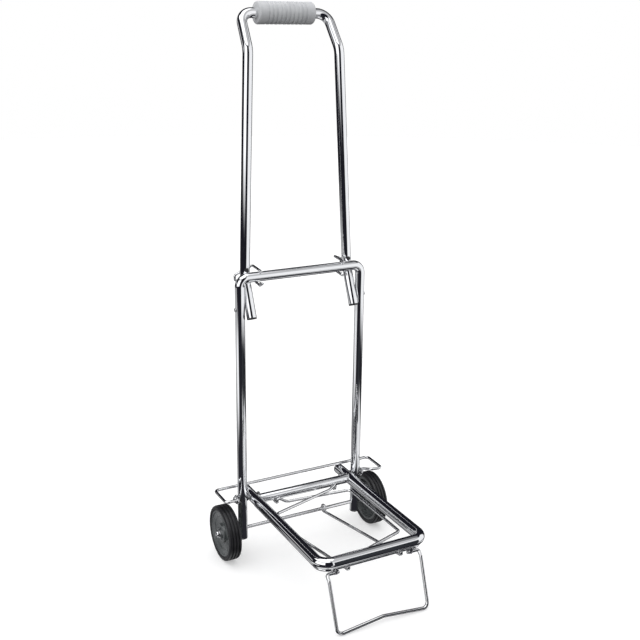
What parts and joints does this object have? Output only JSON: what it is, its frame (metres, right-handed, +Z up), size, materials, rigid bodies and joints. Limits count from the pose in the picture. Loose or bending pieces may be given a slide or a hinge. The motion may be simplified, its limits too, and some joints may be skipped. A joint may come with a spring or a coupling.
{
  "type": "hand truck",
  "caption": "Folding two-wheel hand truck of bent chrome tube with a sliding handle, hinged platform, wire rack and folding front stand.",
  "frame": {"origin": "middle of the footprint box, on the floor", "axes": "+Z up, front (platform side) toward -Y, left toward -X; the wheels turn about X"},
  "size_m": [0.321, 0.3716, 0.9085],
  "materials": {
    "chrome_tube": "polished chrome plate",
    "chrome_wire": "polished chrome plate",
    "chrome_fittings": "polished chrome plate",
    "plated_steel": "satin zinc plate",
    "black_plugs": "moulded black plastic",
    "grip_rubber": "matt grey foam rubber",
    "tyre_rubber": "ribbed black rubber",
    "hub_plastic": "semi-gloss dark grey plastic",
    "bush_plastic": "moulded plastic"
  },
  "bodies": {
    "frame": {"frame_tube": "chrome_tube", "leg_cap_left": "black_plugs", "leg_cap_right": "black_plugs", "axle": "chrome_fittings", "axle_spacer_left": "plated_steel", "axle_spacer_right": "plated_steel", "axle_cap_left": "chrome_fittings", "axle_cap_right": "chrome_fittings", "guard_wire": "chrome_wire", "pivot_bolt_left": "chrome_fittings", "pivot_bolt_right": "chrome_fittings", "pivot_washer_left": "plated_steel", "pivot_washer_right": "plated_steel", "pivot_nut_left": "plated_steel", "pivot_nut_right": "plated_steel", "guide_wire_left": "chrome_wire", "guide_wire_right": "chrome_wire", "frame_rivet_left": "chrome_fittings", "frame_rivet_right": "chrome_fittings"},
    "handle": {"handle_tube": "chrome_tube", "grip": "grip_rubber", "stub_plug_left": "black_plugs", "stub_plug_right": "black_plugs", "button_spring_left": "plated_steel", "button_spring_right": "plated_steel"},
    "button_left": {"button_left": "black_plugs"},
    "button_right": {"button_right": "black_plugs"},
    "wheel_left": {"tyre_left": "tyre_rubber", "wheel_hub_left": "hub_plastic", "wheel_bush_left": "bush_plastic"},
    "wheel_right": {"tyre_right": "tyre_rubber", "wheel_hub_right": "hub_plastic", "wheel_bush_right": "bush_plastic"},
    "platform": {"platform_tube": "chrome_tube", "platform_cross_tube": "chrome_tube", "rail_plug_left": "black_plugs", "rail_plug_right": "black_plugs", "platform_wire": "chrome_wire", "stand_clip_left": "plated_steel", "stand_clip_right": "plated_steel"},
    "stand": {"stand_wire": "chrome_wire"},
    "brace_left": {"brace_left": "chrome_wire"},
    "brace_right": {"brace_right": "chrome_wire"},
    "rack": {"rack_wire": "chrome_wire"}
  },
  "joints": [
    {"name": "handle_slide", "type": "slide", "parent": "frame", "child": "handle", "axis": [0, -0.0339, -0.9994], "range_m": [0, 0.18]},
    {"name": "button_left_press", "type": "slide", "parent": "handle", "child": "button_left", "axis": [0, 0.9994, -0.0339], "range_m": [0, 0.003], "stiffness_N_per_m": 900, "springref_m": -0.002, "deforming": ["button_spring_left"]},
    {"name": "button_right_press", "type": "slide", "parent": "handle", "child": "button_right", "axis": [0, 0.9994, -0.0339], "range_m": [0, 0.003], "stiffness_N_per_m": 900, "springref_m": -0.002, "deforming": ["button_spring_right"]},
    {"name": "wheel_left_spin", "type": "hinge", "parent": "frame", "child": "wheel_left", "pos_m": [-0.142, 0.10228, 0.0475], "axis": [1, 0, 0], "continuous": true},
    {"name": "wheel_right_spin", "type": "hinge", "parent": "frame", "child": "wheel_right", "pos_m": [0.142, 0.10228, 0.0475], "axis": [1, 0, 0], "continuous": true},
    {"name": "platform_fold", "type": "hinge", "parent": "frame", "child": "platform", "pos_m": [0, 0.10228, 0.104], "axis": [-1, 0, 0], "range_deg": [0, 75]},
    {"name": "stand_fold", "type": "hinge", "parent": "platform", "child": "stand", "pos_m": [0, -0.14772, 0.08594], "axis": [1, 0, 0], "range_deg": [0, 84]},
    {"name": "brace_left_swing", "type": "hinge", "parent": "frame", "child": "brace_left", "pos_m": [-0.047, 0.10228, 0.0475], "axis": [1, 0, 0], "range_deg": [0, 8]},
    {"name": "brace_right_swing", "type": "hinge", "parent": "frame", "child": "brace_right", "pos_m": [0.047, 0.10228, 0.0475], "axis": [1, 0, 0], "range_deg": [0, 8]},
    {"name": "rack_lift", "type": "hinge", "parent": "platform", "child": "rack", "pos_m": [0, 0.08828, 0.104], "axis": [-1, 0, 0], "range_deg": [0, 60]}
  ]
}
